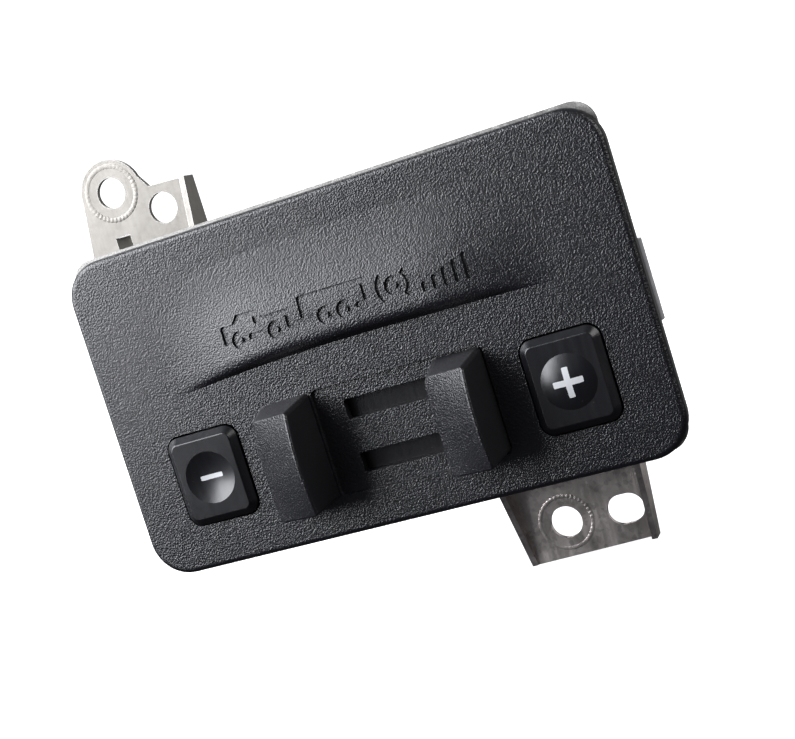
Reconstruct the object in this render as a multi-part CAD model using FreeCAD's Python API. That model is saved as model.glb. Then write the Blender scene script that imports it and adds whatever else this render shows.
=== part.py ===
"""Brake controller unit: a dash module with two gain buttons and a sliding brake lever.

Millimetres. X runs to the driver's right, Y runs back into the dash and Z runs up.
Shapes are drawn from the centre of the bezel's flat front face. The export moves them, so that
the origin is midway between the two screw holes, in the plane where the brackets meet the dash.
"""
import FreeCAD, Part
import math
import os

V = FreeCAD.Vector
BACK = V(0, 1, 0)
RIGHT = V(1, 0, 0)

# Bezel
BEZEL_W = 115.0
BEZEL_H = 67.4
BEZEL_T = 3.0
BEZEL_CORNER = 8.0
BEZEL_EDGE = 1.1
BROW_HEIGHT = 1.9
BROW_HALF = 42.0
BROW_FLAT_HALF = 16.0
BROW_DROP_LEFT = 2.4
BROW_DROP_RIGHT = 0.6
SYMBOL_DEPTH = 0.5
SYMBOL_STROKE = 1.2
SYMBOL_Z = 11.6

# Buttons: caps in rounded openings, on silicone domes
BUTTON_X = 38.5
BUTTON_Z = -15.0
OPENING_W = 16.6
OPENING_H = 19.4
OPENING_R = 3.0
BUTTON_GAP = 0.4
BUTTON_PROUD = 1.6
BUTTON_CHAMFER = 1.3
BUTTON_SKIRT = 4.3
FLANGE_T = 1.0
STEM_R = 2.6
DISH_R = 5.4
DISH_DEPTH = 1.0
MARK_T = 0.5
DOME_TOP = 12.2

# Lever panel, thumb rest and brake lever
PANEL_X = (-12.8, 23.8)
PANEL_Z = (-25.8, -3.8)
PANEL_MID = (PANEL_Z[0] + PANEL_Z[1]) / 2
PANEL_DEPTH = 0.8
SLOT_X = (-6.8, 21.6)
SLOT_H = 4.1
SLOT_OFFSET = 5.5
PANEL_R = 1.2
GRIP_LOW = 4.5
GRIP_HIGH = 10.9
GRIP_CROWN = (0.2, 1.7)
GRIP_SWEEP = ((1.7, 2.5), (0.7, 1.7))
GRIP_DRAFT = 1.0
GRIP_WALL = 2.0
GRIP_CORNERS = [(2.6, True, False), (1.4, False, False), (0.8, True, True), (0.8, False, True)]
GRIP_EDGE = 0.4
REST_X = (-25.2, -14.2)
LEVER_X = (12.1, 22.4)
LEVER_GAP = 0.5
LEG_X = (12.9, 20.9)
LEVER_TRAVEL = 18.0
RUN_GAP = 0.3

# Carriage, rods and springs
SHUTTER_X = (-8.0, 28.5)
SHUTTER_T = 1.0
CARRIAGE_X = (7.5, 24.5)
CARRIAGE_Z = (-27.0, -2.6)
CARRIAGE_BACK = 12.0
ROD_R = 1.5
ROD_BORE_R = 1.55
ROD_Y = 8.5
ROD_OFFSET = 9.6
ROD_WALLS_X = ((-20.0, -17.0), (26.0, 28.8))
SPRING_R = 2.5
SPRING_WIRE = 0.35
SPRING_TURNS = 9
LEVER_SCREW_X = 16.9
MAGNET_X = 10.8

# Chassis plate, inner frame, rear case
PLATE_T = 1.2
PLATE_X = (-56.6, 56.6)
PLATE_Z = (-33.2, 34.3)
PLATE_R = 4.6
FRAME_X = (-50.5, 50.5)
FRAME_Z = (-29.5, 29.5)
FRAME_WALL = 2.0
FRAME_FLANGE_X = (-56.0, 56.0)
FRAME_FLANGE_T = 2.5
FLANGE_BACK = BEZEL_T + PLATE_T + FRAME_FLANGE_T
BEZEL_SCREW_TIP = 1.2
WEB_Y = (12.6, 14.0)
FRAME_BACK = 20.0
CASE_X = (-44.0, 44.0)
CASE_Z = (-29.5, 29.5)
CASE_BACK = 60.0
CASE_SCREW_SEAT = 56.5
CASE_WALL = 2.4
CASE_R = 3.0
GASKET_T = 0.8
FIN_T = 1.6
FIN_PITCH = 4.6
FIN_DEPTH = 5.0
BOSS_R = 2.0
BOSS_HOLE_R = 2.2
SMALL_SCREW_R = 0.9
BEZEL_SCREWS = [(sx * 53.3, sz * 24.0) for sx in (-1, 1) for sz in (-1, 1)]
CASE_SCREWS = [(sx * 39.5, sz * 23.5) for sx in (-1, 1) for sz in (-1, 1)]

# Boards
BOARD_T = 1.6
CONTROL_Y = 15.0
POWER_Y = 42.0
LED_Z = -7.0
BOARD_X = (-47.0, 47.0)
BOARD_Z = (-26.5, 26.5)

# Connector, brackets and clip
SHEET = 1.2
TAB_Y = 20.0
SCREW_HOLE_R = 3.3
UPPER_HOLE = (-51.1, 47.1)
UPPER_LOCATOR = (-40.4, 40.7)
LOCATOR_R = 3.3
LOBE_R = 7.2
LOWER_HOLE = (24.2, -45.6)
LOWER_SLOT = (36.8, -45.7)
LOWER_SLOT_L = 7.6
LOWER_SLOT_R = 3.1
FOOT_BACK = 46.0
RIVET_R = 1.6
CLIP_T = 0.7
CLIP_BOW = 5.2
CLIP_Z = (-10.3, 5.9)
CLIP_RIVET_Y = 15.0
CLIP_RIVET_Z = -2.2
CLIP_RIVET_R = 1.2
UPPER_RIVETS = [(-37.8, y) for y in (28.5, 40.5)]
LOWER_RIVETS = [(x, y) for x in (20.0, 36.0) for y in (28.5, 40.5)]
ORIGIN = V((UPPER_HOLE[0] + LOWER_HOLE[0]) / 2, TAB_Y + SHEET, (UPPER_HOLE[1] + LOWER_HOLE[1]) / 2)


def box(x, y, z):
    return Part.makeBox(x[1] - x[0], y[1] - y[0], z[1] - z[0], V(x[0], y[0], z[0]))


def post(x, z, r, y0, y1):
    """A cylinder along Y, at x and z."""
    return Part.makeCylinder(r, y1 - y0, V(x, y0, z), BACK)


def bar(y, z, r, x0, x1):
    """A cylinder along X, at y and z."""
    return Part.makeCylinder(r, x1 - x0, V(x0, y, z), RIGHT)


def slab(x, z, r, y0, y1):
    """A rounded rectangle seen from the front, from depth y0 to depth y1."""
    block = box(x, (y0, y1), z)
    corners = [e for e in block.Edges if abs(e.tangentAt(e.FirstParameter).y) > 0.99]
    return block.makeFillet(r, corners) if r else block


def prism(points, y0, y1):
    """A polygon of (x, z) points, from depth y0 to depth y1."""
    wire = Part.makePolygon([V(x, y0, z) for x, z in points + points[:1]])
    return Part.Face(wire).extrude(V(0, y1 - y0, 0))


def join(*shapes):
    return shapes[0].multiFuse(list(shapes[1:])).removeSplitter()


def cut(shape, *tools):
    return shape.cut(list(tools)).removeSplitter()


def save(name, *shapes):
    solids = [s for shape in shapes for s in shape.Solids]
    piece = solids[0] if len(solids) == 1 else Part.makeCompound(solids)
    piece = piece.translated(-ORIGIN)
    piece.exportStep(f"parts/{name}.step")
    volume = sum(s.Volume for s in solids)
    print(f"{name}: {len(solids)} solid(s), {volume:.0f} mm3, valid {piece.isValid()}")


def round_front(shape, y, r):
    """Round every edge that lies wholly in the front plane y."""
    edges = [e for e in shape.Edges if all(abs(v.Y - y) < 1e-6 for v in e.Vertexes)]
    return shape.makeFillet(r, edges)


def brow():
    """The raised brow above the lever: steep below, easing away above and at both ends."""
    profile = ((3.9, -0.3), (4.5, 0.12), (5.2, 0.75), (6.1, 1.0), (8.5, 1.0), (12.5, 0.82), (16.5, 0.52))
    profile += ((20.5, 0.24), (24.5, 0.06), (28.0, -0.06))
    sections = []
    for x in (-42, -38, -34, -30, -25, -20, -10, 0, 10, 20, 25, 30, 34, 38, 42):
        fade = max(0.0, (abs(x) - BROW_FLAT_HALF) / (BROW_HALF - BROW_FLAT_HALF))
        height = BROW_HEIGHT * 0.5 * (1 + math.cos(math.pi * fade))
        drop = (BROW_DROP_LEFT if x < 0 else BROW_DROP_RIGHT) * (x / BROW_HALF) ** 2
        points = [V(x, -h * height if h > 0 else -h, z - drop) for z, h in profile]
        curve = Part.BSplineCurve()
        curve.interpolate(points)
        low = V(x, 1.5, points[0].z)
        high = V(x, 1.5, points[-1].z)
        loop = [points[-1], high, low, points[0]]
        back = [Part.LineSegment(a, b).toShape() for a, b in zip(loop, loop[1:])]
        sections.append(Part.Wire([curve.toShape()] + back))
    return Part.makeLoft(sections, True, False)


def stroke(a, b):
    """A straight groove between two (x, z) points, with round ends."""
    dx, dz = b[0] - a[0], b[1] - a[1]
    length = math.hypot(dx, dz)
    r = SYMBOL_STROKE / 2
    nx, nz = -dz / length * r, dx / length * r
    sides = [(a[0] + nx, a[1] + nz), (b[0] + nx, b[1] + nz), (b[0] - nx, b[1] - nz), (a[0] - nx, a[1] - nz)]
    return join(prism(sides, -6, 2), post(a[0], a[1], r, -6, 2), post(b[0], b[1], r, -6, 2))


def path(*points):
    return [stroke(a, b) for a, b in zip(points, points[1:])]


def ring(x, z, r, half_angle=180, facing=0):
    """A round groove; less than a full turn leaves an arc that faces the given angle."""
    hoop = post(x, z, r + SYMBOL_STROKE / 2, -6, 2).cut(post(x, z, r - SYMBOL_STROKE / 2, -6, 2))
    if half_angle >= 180:
        return hoop
    reach = 3 * r
    angles = [math.radians(facing + k * half_angle) for k in (-1, 0, 1)]
    wedge = prism([(x, z)] + [(x + reach * math.cos(t), z + reach * math.sin(t)) for t in angles], -6, 2)
    return hoop.common(wedge)


def brow_symbols():
    """Grooves for a pickup, a trailer behind it, a brake disc between shoes, and rising bars."""
    z = SYMBOL_Z
    sill = z - 1.6
    grooves = []
    grooves += path((-26, sill), (-26, z + 1.1), (-23.6, z + 1.1), (-22.2, z + 2.7), (-18.4, z + 2.7))
    grooves += path((-18.4, z + 2.7), (-18.4, z + 1.1), (-11.6, z + 1.1), (-11.6, sill), (-8.4, sill))
    grooves += path((-26, sill), (-25.7, sill)) + path((-20.2, sill), (-17.4, sill))
    grooves += path((-8.4, sill), (-8.4, z + 2.7), (5.2, z + 2.7), (5.2, sill), (3.3, sill))
    grooves += path((-8.4, sill), (-6.7, sill))
    grooves += [ring(x, sill - 0.1, 1.2) for x in (-22.9, -14.7, -3.8, 0.4)]
    grooves += [ring(11.2, z, 1.3), ring(11.2, z, 3.2, 48, 0), ring(11.2, z, 3.2, 48, 180)]
    bars = [(x, z - 1.5 + 0.8 * k) for k, x in enumerate((17.2, 19.4, 21.6, 23.8, 26.0))]
    return grooves + [stroke((x, z - 2.4), (x, top)) for x, top in bars]


def grip_section(x, z, foot, height, crown, sweep):
    """A grip's outline at one x: its top edge is an arch, and both its ends are swept down."""
    corners = [V(x, foot, z[0]), V(x, -height, z[0] - sweep[0])]
    corners += [V(x, -height, z[1] - sweep[1]), V(x, foot, z[1])]
    top = Part.Arc(corners[1], V(x, -height - crown, (corners[1].z + corners[2].z) / 2), corners[2])
    sides = [Part.LineSegment(corners[a], corners[b]).toShape() for a, b in ((0, 1), (2, 3), (3, 0))]
    return Part.Wire([sides[0], top.toShape(), sides[1], sides[2]])


def grip(x, z, foot, inset=0.0):
    """A wedge-shaped finger grip: it rises to the right and is arched from top to bottom."""
    z = (z[0] + inset, z[1] - inset)
    left, right = x[0] + inset, x[1] - inset
    further = GRIP_DRAFT / (x[1] - x[0])
    ends = []
    for share in (0, 1 + further):
        height = GRIP_LOW + share * (GRIP_HIGH - GRIP_LOW) - inset
        crown = GRIP_CROWN[0] + share * (GRIP_CROWN[1] - GRIP_CROWN[0])
        sweep = [a + share * (b - a) for a, b in zip(*GRIP_SWEEP)]
        ends.append(grip_section(left + share * (right - left), z, foot, height, crown, sweep))
    body = Part.makeLoft(ends, True, True)
    reach = 2 * GRIP_HIGH
    lean = GRIP_DRAFT * (reach + foot) / (GRIP_HIGH + foot)
    base = right + GRIP_DRAFT
    wall = [V(base, foot, z[0] - 5), V(base - lean, -reach, z[0] - 5)]
    wall += [V(base + 5, -reach, z[0] - 5), V(base + 5, foot, z[0] - 5)]
    return body.cut(Part.Face(Part.makePolygon(wall + wall[:1])).extrude(V(0, 0, z[1] - z[0] + 10)))


def rounded_grip(x, z, foot):
    """The grip with rounded corners: widest at the upper left, where a finger lands."""
    body = grip(x, z, foot)
    across = (x[0] + x[1]) / 2
    middle = (z[0] + z[1]) / 2
    for radius, high, right in GRIP_CORNERS:
        uprights = [e for e in body.Edges if sum(abs(v.Y - foot) < 1e-6 for v in e.Vertexes) == 1]
        level = [e for e in uprights if (e.CenterOfMass.z > middle) == high]
        body = body.makeFillet(radius, [e for e in level if (e.CenterOfMass.x > across) == right])
    rim = [e for e in body.Edges if max(v.Y for v in e.Vertexes) < -0.6 * GRIP_LOW]
    return body.makeFillet(GRIP_EDGE, rim)


def button_box(side, grow=0.0):
    """The x and z ranges of a button's opening, grown all round."""
    x = (side * BUTTON_X - OPENING_W / 2 - grow, side * BUTTON_X + OPENING_W / 2 + grow)
    z = (BUTTON_Z - OPENING_H / 2 - grow, BUTTON_Z + OPENING_H / 2 + grow)
    return x, z


def slot_rows():
    return (PANEL_MID - SLOT_OFFSET, PANEL_MID + SLOT_OFFSET)


def make_bezel():
    half_w, half_h = BEZEL_W / 2, BEZEL_H / 2
    plate = slab((-half_w, half_w), (-half_h, half_h), BEZEL_CORNER, 0, BEZEL_T)
    plate = round_front(plate, 0, BEZEL_EDGE)
    body = join(plate, brow())
    floor = body.translated(V(0, SYMBOL_DEPTH, 0))
    symbols = join(*brow_symbols()).cut(floor)
    body = cut(body, symbols)
    body = join(body, rounded_grip(REST_X, PANEL_Z, 1.0))
    hollow = grip(REST_X, PANEL_Z, 1.0, GRIP_WALL)
    well_x = (REST_X[0] + GRIP_WALL, PANEL_X[0] - GRIP_WALL)
    well_z = (PANEL_Z[0] + GRIP_WALL, PANEL_Z[1] - GRIP_WALL)
    body = cut(body, hollow, box(well_x, (0, BEZEL_T + 1), well_z))
    body = cut(body, slab(PANEL_X, PANEL_Z, PANEL_R, -1, PANEL_DEPTH))
    for z in slot_rows():
        body = cut(body, slab(SLOT_X, (z - SLOT_H / 2, z + SLOT_H / 2), 0.4, -1, BEZEL_T + 1))
    for side in (-1, 1):
        x, z = button_box(side)
        body = cut(body, slab(x, z, OPENING_R, -1, BEZEL_T + 1))
    for x, z in BEZEL_SCREWS:
        boss = post(x, z, BOSS_R, BEZEL_T - 0.5, FLANGE_BACK)
        body = join(body, boss)
        body = cut(body, post(x, z, SMALL_SCREW_R, BEZEL_SCREW_TIP, FLANGE_BACK + 1))
    return body


def cap(side):
    """A button cap: chamfered face, retaining flange behind the bezel, and a stem to its dome."""
    x, z = button_box(side, -BUTTON_GAP)
    body = slab(x, z, OPENING_R - BUTTON_GAP, -BUTTON_PROUD, BUTTON_SKIRT)
    rim = [e for e in body.Edges if all(abs(v.Y + BUTTON_PROUD) < 1e-6 for v in e.Vertexes)]
    body = body.makeChamfer(BUTTON_CHAMFER, rim)
    face = [e for e in body.Edges if all(abs(v.Y + BUTTON_PROUD) < 1e-6 for v in e.Vertexes)]
    body = body.makeFillet(0.35, face)
    fx, fz = button_box(side, 0.8)
    flange = slab(fx, fz, OPENING_R, BUTTON_SKIRT - FLANGE_T, BUTTON_SKIRT)
    hx, hz = button_box(side, -2.0)
    hollow = slab(hx, hz, 1.5, 1.6, BUTTON_SKIRT)
    body = join(cut(join(body, flange), hollow), post(side * BUTTON_X, BUTTON_Z, STEM_R, 1.0, DOME_TOP))
    return body


def dish_ball(side, sign):
    """The sphere that makes a dish or a dome on a cap's face."""
    radius = (DISH_R**2 + DISH_DEPTH**2) / (2 * DISH_DEPTH)
    y = -BUTTON_PROUD - sign * (radius - DISH_DEPTH)
    return Part.makeSphere(radius, V(side * BUTTON_X, y, BUTTON_Z))


def mark_prism(side, width, stroke_w, upright, y0, y1):
    x, z, half = side * BUTTON_X, BUTTON_Z, width / 2
    bars = [slab((x - half, x + half), (z - stroke_w / 2, z + stroke_w / 2), 0.2, y0, y1)]
    if upright:
        bars.append(slab((x - stroke_w / 2, x + stroke_w / 2), (z - half, z + half), 0.2, y0, y1))
    return join(*bars)


def make_minus():
    body = cut(cap(-1), dish_ball(-1, 1))
    deepest = -BUTTON_PROUD + DISH_DEPTH + MARK_T
    mark = mark_prism(-1, 5.0, 0.95, False, -BUTTON_PROUD - 1, deepest).common(body)
    return cut(body, mark), mark


def make_plus():
    inside = post(BUTTON_X, BUTTON_Z, DISH_R + 1, -BUTTON_PROUD - 2, 0.5)
    body = join(cap(1), dish_ball(1, -1).common(inside))
    mark = mark_prism(1, 5.9, 1.2, True, -BUTTON_PROUD - 2, -BUTTON_PROUD).common(body)
    return cut(body, mark), mark


def make_dome(side):
    """A silicone dome on the control board, hollow underneath."""
    x = side * BUTTON_X
    height = CONTROL_Y - DOME_TOP
    outer = Part.makeCone(2.4, 4.4, height, V(x, DOME_TOP, BUTTON_Z), BACK)
    inner = Part.makeCone(1.2, 3.4, height - 0.9, V(x, DOME_TOP + 0.9, BUTTON_Z), BACK)
    return outer.cut(inner)


def make_lever():
    foot = PANEL_DEPTH - RUN_GAP
    body = rounded_grip(LEVER_X, (PANEL_Z[0] + LEVER_GAP, PANEL_Z[1] - LEVER_GAP), foot)
    for z in slot_rows():
        leg_z = (z - SLOT_H / 2 + RUN_GAP, z + SLOT_H / 2 - RUN_GAP)
        leg = box(LEG_X, (-2.0, BEZEL_T + RUN_GAP), leg_z)
        body = join(body, leg)
        body = cut(body, post(LEVER_SCREW_X, z, 1.0, -3.0, BEZEL_T + 1))
    return body


def make_shutter():
    y = BEZEL_T + RUN_GAP
    plate = slab(SHUTTER_X, (PANEL_Z[0] + 0.6, PANEL_Z[1] - 0.6), 1.0, y, y + SHUTTER_T)
    return cut(plate, *[post(LEVER_SCREW_X, z, 1.0, y - 1, y + 2) for z in slot_rows()])


def make_carriage():
    front = BEZEL_T + RUN_GAP + SHUTTER_T
    block = slab(CARRIAGE_X, CARRIAGE_Z, 1.5, front, CARRIAGE_BACK)
    for z in slot_rows():
        block = cut(block, post(LEVER_SCREW_X, z, 1.0, front - 1, CARRIAGE_BACK))
        block = cut(block, post(LEVER_SCREW_X, z, 2.1, CARRIAGE_BACK - 1.7, CARRIAGE_BACK + 1))
    for z in rod_rows():
        block = cut(block, bar(ROD_Y, z, ROD_BORE_R, CARRIAGE_X[0] - 1, CARRIAGE_X[1] + 1))
    pocket = post(MAGNET_X, PANEL_MID, 2.5, CARRIAGE_BACK - 1.6, CARRIAGE_BACK + 1)
    core_x = (LEVER_SCREW_X - 3, CARRIAGE_X[1] - 1.5)
    core = box(core_x, (front + 2, CARRIAGE_BACK + 1), (PANEL_MID - 2.5, PANEL_MID + 2.5))
    return cut(block, pocket, core)


def rod_rows():
    return (PANEL_MID - ROD_OFFSET, PANEL_MID + ROD_OFFSET)


def make_springs():
    """One compression spring on each rod, between the left wall and the carriage."""
    x0 = ROD_WALLS_X[0][1] + SPRING_WIRE
    x1 = CARRIAGE_X[0] - SPRING_WIRE
    springs = []
    for z in rod_rows():
        helix = Part.makeHelix((x1 - x0) / SPRING_TURNS, x1 - x0, SPRING_R)
        circle = Part.Wire(Part.makeCircle(SPRING_WIRE, V(SPRING_R, 0, 0), V(0, 1, 0)))
        coil = Part.Wire(helix).makePipeShell([circle], True, True)
        coil.rotate(V(0, 0, 0), V(0, 1, 0), 90)
        coil.translate(V(x0, ROD_Y, z))
        springs.append(coil)
    return springs


def make_frame():
    """The inner frame: outer walls, a flange behind the chassis plate, and a web that carries the works."""
    front = BEZEL_T + PLATE_T
    flange = slab(FRAME_FLANGE_X, FRAME_Z, 4.0, front, front + FRAME_FLANGE_T)
    shell = slab(FRAME_X, FRAME_Z, 4.0, front, FRAME_BACK)
    body = join(flange, shell)
    inner_x = (FRAME_X[0] + FRAME_WALL, FRAME_X[1] - FRAME_WALL)
    inner_z = (FRAME_Z[0] + FRAME_WALL, FRAME_Z[1] - FRAME_WALL)
    body = cut(body, slab(inner_x, inner_z, 2.0, front - 1, WEB_Y[0]))
    body = cut(body, slab(inner_x, inner_z, 2.0, WEB_Y[1], FRAME_BACK + 1))
    for x in ROD_WALLS_X:
        wall = box(x, (BEZEL_T + RUN_GAP + SHUTTER_T + 0.4, WEB_Y[0]), (inner_z[0], PANEL_Z[1] + 4))
        body = join(body, wall)
    for z in rod_rows():
        body = cut(body, bar(ROD_Y, z, ROD_R, ROD_WALLS_X[0][0] - 1, ROD_WALLS_X[1][1] + 1))
    for side in (-1, 1):
        x = side * BUTTON_X
        body = join(body, post(x, BUTTON_Z, 6.2, 7.5, WEB_Y[0]))
        body = cut(body, post(x, BUTTON_Z, STEM_R + RUN_GAP, 7, 12), post(x, BUTTON_Z, 5.0, 12, WEB_Y[1] + 1))
    body = cut(body, box((-12, 14), (WEB_Y[0] - 1, WEB_Y[1] + 1), (PANEL_MID - 3.2, PANEL_MID + 3.2)))
    for x, z in CASE_SCREWS:
        body = join(body, post(x, z, 3.4, WEB_Y[1], FRAME_BACK))
        body = cut(body, post(x, z, 1.2, WEB_Y[1] + 0.5, FRAME_BACK + 1))
    for x, z in board_screw_points():
        body = join(body, post(x, z, 2.6, WEB_Y[1], CONTROL_Y))
        body = cut(body, post(x, z, 0.9, WEB_Y[0] + 0.4, CONTROL_Y + 1))
    for x, z in BEZEL_SCREWS:
        body = cut(body, post(x, z, BOSS_HOLE_R, front - 1, FLANGE_BACK + 1))
    body = cut(body, bar(CLIP_RIVET_Y, CLIP_RIVET_Z, CLIP_RIVET_R, FRAME_X[1] - 4, FRAME_X[1] + 1))
    for side in (-1, 1):
        body = cut(body, post(side * BUTTON_X, LED_Z, 1.8, WEB_Y[0] - 1, WEB_Y[1] + 1))
    return body


def board_screw_points():
    return [(sx * 24.0, sz * 22.0) for sx in (-1, 1) for sz in (-1, 1)]


def make_chassis_plate():
    plate = slab(PLATE_X, PLATE_Z, PLATE_R, BEZEL_T, BEZEL_T + PLATE_T)
    window_x = (FRAME_X[0] + 0.6, FRAME_X[1] - 0.6)
    window_z = (FRAME_Z[0] + 0.8, FRAME_Z[1] - 0.8)
    window = slab(window_x, window_z, 4.0, BEZEL_T - 1, BEZEL_T + 3)
    holes = [post(x, z, BOSS_HOLE_R, BEZEL_T - 1, BEZEL_T + 3) for x, z in BEZEL_SCREWS]
    return cut(plate, window, *holes)


def corner_notches(y):
    notches = []
    for x, z in CASE_SCREWS:
        sx, sz = math.copysign(1, x), math.copysign(1, z)
        xs = sorted((x - sx * 4.2, sx * 60))
        zs = sorted((z - sz * 4.2, sz * 40))
        notches.append(box(xs, (y - 1, y + 3), zs))
    return notches


def make_control_board():
    board = box(BOARD_X, (CONTROL_Y, CONTROL_Y + BOARD_T), BOARD_Z)
    holes = [post(x, z, 1.1, CONTROL_Y - 1, CONTROL_Y + 3) for x, z in board_screw_points()]
    return cut(board, *holes, *corner_notches(CONTROL_Y))


def make_power_board():
    x = (CASE_X[0] + CASE_WALL + 1, CASE_X[1] - CASE_WALL - 1)
    z = (CASE_Z[0] + CASE_WALL + 1, CASE_Z[1] - CASE_WALL - 1)
    board = box(x, (POWER_Y, POWER_Y + BOARD_T), z)
    holes = [post(px, pz, 1.3, POWER_Y - 1, POWER_Y + 3) for px, pz in power_posts()]
    return cut(board, *holes, *corner_notches(POWER_Y))


def power_posts():
    return [(sx * 26.0, sz * 19.0) for sx in (-1, 1) for sz in (-1, 1)]


def make_rear_case():
    """The cast rear case: a finned back, posts for the power board and screw columns in the corners."""
    front = FRAME_BACK + GASKET_T
    body = slab(CASE_X, CASE_Z, CASE_R, front, CASE_BACK)
    lip = slab(FRAME_X, FRAME_Z, 4.0, front, front + 2.4)
    body = join(body, lip)
    inner_x = (CASE_X[0] + CASE_WALL, CASE_X[1] - CASE_WALL)
    inner_z = (CASE_Z[0] + CASE_WALL, CASE_Z[1] - CASE_WALL)
    body = cut(body, slab(inner_x, inner_z, 1.5, front - 1, CASE_BACK - 3))
    for x, z in CASE_SCREWS:
        body = join(body, post(x, z, 3.4, front, CASE_BACK - 1))
        body = cut(body, post(x, z, 1.7, front - 1, CASE_BACK + 1))
        body = cut(body, post(x, z, 3.0, CASE_SCREW_SEAT, CASE_BACK + 1))
    for x, z in power_posts():
        body = join(body, post(x, z, 3.0, POWER_Y + BOARD_T, CASE_BACK - 2))
        body = cut(body, post(x, z, 1.1, POWER_Y - 1, POWER_Y + BOARD_T + 8))
    fins = []
    count = 7
    for k in range(count):
        x = 7.0 + k * FIN_PITCH
        fins.append(slab((x, x + FIN_T), (-19, 19), 0.7, CASE_BACK - 1, CASE_BACK + FIN_DEPTH))
    body = join(body, *fins)
    cx, cz = connector_box(0.0)
    body = cut(body, box(cx, (CASE_BACK - 5, CASE_BACK + 1), cz))
    rivet_holes = [upright(x, y, RIVET_R, CASE_Z[1] - 4, CASE_Z[1] + 1) for x, y in UPPER_RIVETS]
    rivet_holes += [upright(x, y, RIVET_R, CASE_Z[0] - 1, CASE_Z[0] + 4) for x, y in LOWER_RIVETS]
    return cut(body, *rivet_holes)


def connector_box(grow):
    return (-33.0 - grow, -5.0 + grow), (-7.5 - grow, 7.5 + grow)


def make_connector():
    cx, cz = connector_box(0.0)
    shell = slab(cx, cz, 2.0, CASE_BACK - 8, CASE_BACK + 14)
    fx, fz = connector_box(2.0)
    flange = slab(fx, fz, 3.0, CASE_BACK, CASE_BACK + 1.6)
    ix, iz = connector_box(-1.6)
    socket = slab(ix, iz, 1.2, CASE_BACK + 1, CASE_BACK + 15)
    rail = box((-22.0, -16.0), (CASE_BACK + 3, CASE_BACK + 13), (7.5, 9.0))
    shell = cut(join(shell, flange, rail), socket)
    return cut(shell, *[pin_box(x, z, 0.0) for x, z in pin_points()])


def pin_points():
    return [(-29.5 + 3.5 * k, z) for k in range(7) for z in (-2.5, 2.5)]


def pin_box(x, z, grow):
    half = 0.5 + grow
    return box((x - half, x + half), (POWER_Y + BOARD_T + 0.2, CASE_BACK + 8), (z - half, z + half))


def foot_box(x, side):
    """The foot of a bracket, flat on the top (side 1) or the bottom (side -1) of the case."""
    face = CASE_Z[1] if side > 0 else CASE_Z[0]
    z = sorted((face, face + side * SHEET))
    return box(x, (TAB_Y, FOOT_BACK), z)


def gusset(x, side, tip_z, tip, root_z, root):
    """A stiffening flange that stands forward of a tab: its depth runs from tip to root."""
    back = TAB_Y + SHEET
    side_view = [V(x, back, root_z), V(x, back, tip_z), V(x, TAB_Y - tip, tip_z), V(x, TAB_Y - root, root_z)]
    return Part.Face(Part.makePolygon(side_view + side_view[:1])).extrude(V(side * SHEET, 0, 0))


def make_upper_bracket():
    """The upper bracket: a screw lobe, a locating hole, a lanced tongue, one gusset and a foot."""
    cx, cz = UPPER_HOLE
    back = TAB_Y + SHEET
    root = CASE_Z[1]
    side = (cx + 0.61 * LOBE_R, cz + 0.79 * LOBE_R)
    outline = [(-60.6, root + 1.5), (cx - LOBE_R, cz), (cx, cz), side, (-42.2, 46.0)]
    outline += [(-32.0, 45.4), (-32.0, root), (-44.0, root), (-45.5, root + 1.5)]
    body = join(prism(outline, TAB_Y, back), post(cx, cz, LOBE_R, TAB_Y, back))
    body = join(body, foot_box((-43.5, -32.0), 1), gusset(-32.0, -1, 45.4, 3.4, root, 7.2))
    body = cut(body, post(cx, cz, SCREW_HOLE_R, 0, 30), post(*UPPER_LOCATOR, LOCATOR_R, 0, 30))
    body = cut(body, box((-53.4, -49.9), (0, 30), (33.6, 37.6)))
    lanced = [(-53.4, back - 1.0), (-50.0, back + 1.4), (-50.0, back + 2.4), (-53.4, back)]
    lanced = [V(x, y, 33.7) for x, y in lanced]
    tongue = Part.Face(Part.makePolygon(lanced + lanced[:1])).extrude(V(0, 0, 3.8))
    body = join(body, tongue)
    return cut(body, *[upright(x, y, RIVET_R, root - 4, root + 4) for x, y in UPPER_RIVETS])


def make_lower_bracket():
    """The lower bracket: a screw hole, an adjusting slot, two gussets and a foot."""
    back = TAB_Y + SHEET
    root = CASE_Z[0]
    outline = [(12.9, root), (14.7, -53.0), (41.9, -52.4), (43.9, root)]
    left = [(12.9, 5.9), (14.7, 0.4)]
    body = join(prism(outline, TAB_Y, back), foot_box((14.0, 42.0), -1))
    body = join(body, lean_gusset(outline[0], outline[1], *[d for _, d in left], 1))
    body = join(body, lean_gusset(outline[3], outline[2], 6.4, 2.7, -1))
    half = LOWER_SLOT_L / 2
    slot_x = (LOWER_SLOT[0] - half, LOWER_SLOT[0] + half)
    slot_z = (LOWER_SLOT[1] - LOWER_SLOT_R, LOWER_SLOT[1] + LOWER_SLOT_R)
    slot = slab(slot_x, slot_z, LOWER_SLOT_R - 0.001, 10, 30)
    body = cut(body, post(*LOWER_HOLE, SCREW_HOLE_R, 0, 30), slot)
    return cut(body, *[upright(x, y, RIVET_R, root - 4, root + 4) for x, y in LOWER_RIVETS])


def lean_gusset(top, bottom, root, tip, side):
    """A flange along a sloping tab edge from top to bottom, standing root to tip forward of the tab."""
    back = TAB_Y + SHEET
    z0 = top[1] - 1.5
    x0 = top[0] + (bottom[0] - top[0]) * (z0 - top[1]) / (bottom[1] - top[1])
    quad = [V(x0, back, z0), V(bottom[0], back, bottom[1])]
    quad += [V(bottom[0], TAB_Y - tip, bottom[1]), V(x0, TAB_Y - root, z0)]
    return Part.Face(Part.makePolygon(quad + quad[:1])).extrude(V(side * SHEET, 0, 0))


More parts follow.
